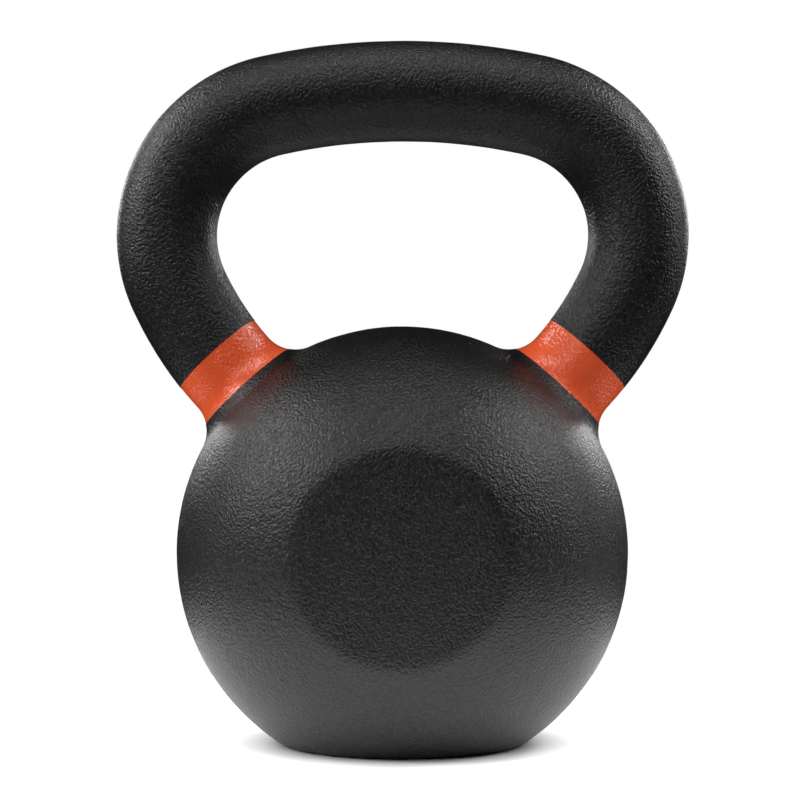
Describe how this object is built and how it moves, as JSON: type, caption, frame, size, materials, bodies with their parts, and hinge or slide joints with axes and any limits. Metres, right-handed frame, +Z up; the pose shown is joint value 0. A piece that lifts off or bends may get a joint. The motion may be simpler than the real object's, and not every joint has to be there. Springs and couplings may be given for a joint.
{
  "type": "kettlebell",
  "caption": "Cast-iron kettlebell with a round looped handle, flat base, black powder coat and a coloured band at the foot of each horn.",
  "frame": {"origin": "centre of the base's flat, on the floor", "axes": "+Z up through the middle of the grip, +X along the grip to the right as seen from the front, -Y out of the front flat"},
  "size_m": [0.1998, 0.1398, 0.244],
  "materials": {
    "cast_iron": "shot-blasted as-cast grey iron, wholly under the films",
    "black_powder_coat": "matte black fine-textured powder coat",
    "orange_enamel": "glossy orange-red enamel over the as-cast grain"
  },
  "bodies": {
    "root": {"iron_casting": "cast_iron", "bell_coat": "black_powder_coat", "handle_coat": "black_powder_coat", "left_band": "orange_enamel", "right_band": "orange_enamel"}
  },
  "joints": []
}
